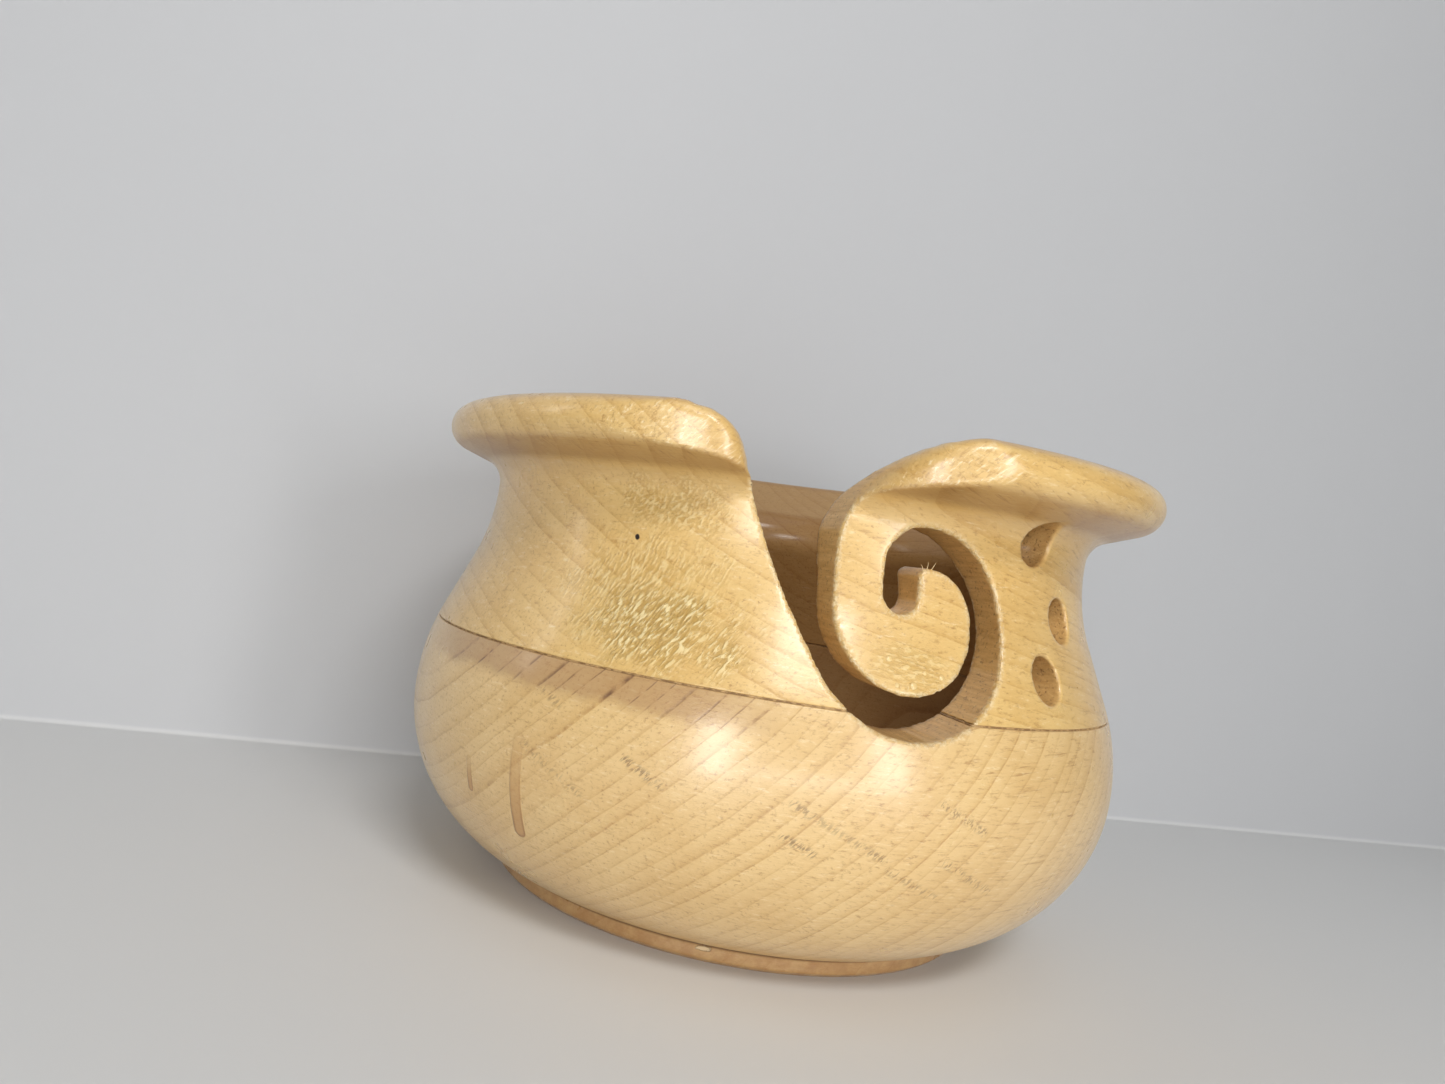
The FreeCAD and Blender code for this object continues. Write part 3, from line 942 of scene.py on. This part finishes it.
def loose_fibres():
    """Where each loose fibre is rooted and where it ends: on the rims of the cuts."""
    places = [(*in_from_rim(HOOK_TIP, lean, ROOT_DEPTH), lean / 60) for lean in (-50, -20, 10)]
    places += [(*in_from_rim(CURL_BELLY, lean, ROOT_DEPTH), -0.4) for lean in (180, 186)]
    places += [(degrees, height + HOLE_RADIUS + ROOT_DEPTH, 1.0) for degrees, height in HOLES]
    fibres = []
    for degrees, height, lean in places:
        turn = math.radians(degrees)
        outward = np.array((math.sin(turn), -math.cos(turn), 0.0))
        beside = np.array((math.cos(turn), math.sin(turn), 0.0))
        root = np.array(on_wall(degrees, height)) - outward * ROOT_DEPTH
        rise = outward * 0.55 + beside * lean + np.array((0.0, 0.0, 1.0))
        fibres.append((root, root + rise / np.linalg.norm(rise) * FIBRE_LENGTH))
    return fibres


def ring_of_points(centre, across, beside, radius, sides):
    turns = [math.tau * side / sides for side in range(sides)]
    return [centre + (across * math.cos(turn) + beside * math.sin(turn)) * radius
            for turn in turns]


def add_closed_form(points, faces, rings, tip):
    """Add a form made of equal rings of points, closed by a flat base and a tip."""
    first, sides = len(points), len(rings[0])
    points += [point for ring in rings for point in ring] + [tip]
    last, top = len(points) - 1, first + (len(rings) - 1) * sides
    for low in range(first, top, sides):
        for side in range(sides):
            after, high = (side + 1) % sides, low + sides
            faces.append((low + side, low + after, high + after, high + side))
    faces += [(top + side, top + (side + 1) % sides, last) for side in range(sides)]
    faces.append(tuple(first + side for side in reversed(range(sides))))


def extra(name, points, faces, material):
    """A small part that belongs to the wood but stands for no piece of its own."""
    mesh = bpy.data.meshes.new(name)
    mesh.from_pydata([tuple(point * MM) for point in points], [], faces)
    mesh.polygons.foreach_set("use_smooth", [True] * len(faces))
    mesh.materials.append(material)
    thing = link(name, mesh)
    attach(thing, "root")


def speckled(name, scale, first, second, roughness):
    """A plain material that varies between two colours."""
    graph = Graph(name)
    tint = graph.mix(graph.noise(graph.place, scale, 2.0), first, second)
    return graph.finish(tint, roughness)


def splinters():
    """Curled tapering fibres standing off the rims of the cuts."""
    points, faces, sides, steps, thick, curl = [], [], 6, 6, 0.08, 0.3
    for root, tip in loose_fibres():
        along = Vector(tip - root)
        across = along.orthogonal().normalized()
        beside = along.cross(across).normalized()
        rings = []
        for part in (step / steps for step in range(steps)):
            middle = Vector(root) + along * part + across * curl * math.sin(math.pi * part)
            rings.append(ring_of_points(middle, across, beside, thick * (1 - part) ** 0.6, sides))
        add_closed_form(points, faces, rings, Vector(tip))
    extra("splinters", points, faces, speckled("torn_fibre", 1500.0, FIBRE_PALE, FIBRE_BROWN, 0.6))


def lacquer_drops():
    """Small beads where the lacquer dried before it ran, low on the curl."""
    points, faces, sides, rows, flatness, sunk = [], [], 16, 5, 0.45, 8
    for lean, (depth, size) in zip(np.linspace(145, 205, 5), scatter(5, (1.2, 5.0), (0.4, 0.7))):
        degrees, height = in_from_rim(CURL_BELLY, lean, depth)
        centre = Vector(on_wall(degrees, height))
        above, below = (Vector(on_wall(degrees, height + rise)) for rise in (1.0, -1.0))
        upward = (above - below).normalized()
        sideways = Vector((math.cos(math.radians(degrees)), math.sin(math.radians(degrees)), 0))
        outward = sideways.cross(upward).normalized()
        beside = upward.cross(outward)
        rings = []
        for climb in (math.radians(90 * row / rows - sunk) for row in range(rows)):
            middle = centre + outward * flatness * size * math.sin(climb)
            rings.append(ring_of_points(middle, beside, upward, size * math.cos(climb), sides))
        add_closed_form(points, faces, rings, centre + outward * flatness * size)
    extra("lacquer_drops", points, faces,
          speckled("dried_lacquer", 1200.0, BEAD_PALE, BEAD_BROWN, 0.18))


# ---------------------------------------------------------------------------------------
# Studio
# ---------------------------------------------------------------------------------------
def one_sided(graph, material):
    """Let a surface be seen through from behind, so that the wall never hides the bowl."""
    behind = graph.add("ShaderNodeNewGeometry").outputs["Backfacing"]
    clear = graph.add("ShaderNodeBsdfTransparent").outputs[0]
    blend = graph.add("ShaderNodeMixShader", {0: behind, 1: graph.shader.outputs[0], 2: clear})
    graph.tree.links.new(blend.outputs[0], graph.tree.nodes["Material Output"].inputs["Surface"])
    return material


def floor_and_wall():
    """A pale shelf floor that runs back to a pale wall, with a small cove between them."""
    half, near, far, tall, cove = 1.6, -1.5, 0.0885, 1.5, 0.0015
    section = [(near, 0.0), (far - cove, 0.0)]
    section += [(far - cove + cove * math.sin(a), cove - cove * math.cos(a))
                for a in (math.radians(d) for d in range(15, 90, 15))]
    section += [(far, cove), (far, tall)]
    mesh = bpy.data.meshes.new("backdrop")
    points = [(x, y, z) for y, z in section for x in (-half, half)]
    quads = [(2 * i, 2 * i + 1, 2 * i + 3, 2 * i + 2) for i in range(len(section) - 1)]
    points += [(x, y, 0.0) for y in (far, -near) for x in (-half, half)]     # floor behind
    last = len(points) - 4
    quads.append((last, last + 1, last + 3, last + 2))
    mesh.from_pydata(points, [], quads)
    mesh.polygons.foreach_set("use_smooth", [True] * len(quads))
    graph = Graph("pale_paint")
    mottled = graph.noise(graph.place, 3.0, 3.0)
    floor = graph.mix(mottled, FLOOR_PAINT, FLOOR_PALE)
    wall = graph.mix(mottled, WALL_PAINT, WALL_PALE)
    height = graph.add("ShaderNodeSeparateXYZ", {0: graph.place}).outputs["Z"]
    tint = graph.mix(graph.span(height, 0.0, cove), floor, wall)
    mesh.materials.append(one_sided(graph, graph.finish(tint, 0.6)))
    thing = link("backdrop", mesh)
    thing.rotation_euler.z = math.radians(3.8)
    thing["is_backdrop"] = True


def area_light(name, place, target, size, power):
    light = bpy.data.lights.new(name, "AREA")
    light.shape = "RECTANGLE"
    light.size, light.size_y = size
    light.energy = power
    thing = link(name, light)
    thing.location = place
    thing.visible_camera = False
    thing.rotation_euler = (Vector(target) - Vector(place)).to_track_quat("-Z", "Y").to_euler()


def lights():
    """Two upright panels that give the belly two soft spots, and fill from all round."""
    middle = (0.0, 0.0, 0.05)
    area_light("left_panel", (-0.31, -0.65, 0.14), middle, (0.13, 0.28), 1.50)
    area_light("right_panel", (0.28, -0.66, 0.18), middle, (0.12, 0.30), 1.30)
    area_light("low_panel", (0.00, -0.66, 0.050), middle, (0.40, 0.05), 0.5)
    area_light("top_panel", (0.02, -0.66, 0.70), middle, (0.34, 0.16), 3.3)
    area_light("ceiling", (0.05, -0.30, 1.1), middle, (0.7, 0.5), 0.8)
    area_light("left_strip", (-0.50, 0.02, 0.27), middle, (0.03, 0.20), 0.10)
    world = bpy.data.worlds.new("studio")
    world.use_nodes = True
    background = world.node_tree.nodes["Background"]
    background.inputs["Color"].default_value = STUDIO_AIR
    background.inputs["Strength"].default_value = 0.06
    bpy.context.scene.world = world


def camera():
    """A wide lens close to the bowl, a little below its rim and tipped to one side."""
    place = Vector((-73.94, -214.73, 73.84)) * MM
    pan, tilt, roll = (math.radians(a) for a in (8.985, -6.463, 8.268))
    lens = bpy.data.cameras.new("camera")
    lens.sensor_width = 36.0
    lens.lens = 24.22
    lens.shift_x, lens.shift_y = 0.0962, 0.0740
    lens.clip_start = 0.01
    thing = link("camera", lens)
    thing.matrix_world = (Matrix.Translation(place) @ Matrix.Rotation(-pan, 4, "Z")
                          @ Matrix.Rotation(math.pi / 2 + tilt, 4, "X")
                          @ Matrix.Rotation(roll, 4, "Z"))
    bpy.context.scene.camera = thing


def colour_management():
    bpy.context.scene.view_settings.view_transform = "Standard"


def record_size():
    """Turn the CAD model's box and the visual model's box into plain lists."""
    boxes = {"cad": CAD_BOX, "visual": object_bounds()}
    plain = {name: [[float(v) for v in corner] for corner in box] for name, box in boxes.items()}


upper_ring(upper_wood())
lower_bowl(lower_wood())
glue_line(glue())
splinters()
lacquer_drops()
floor_and_wall()
lights()
camera()
colour_management()
record_size()
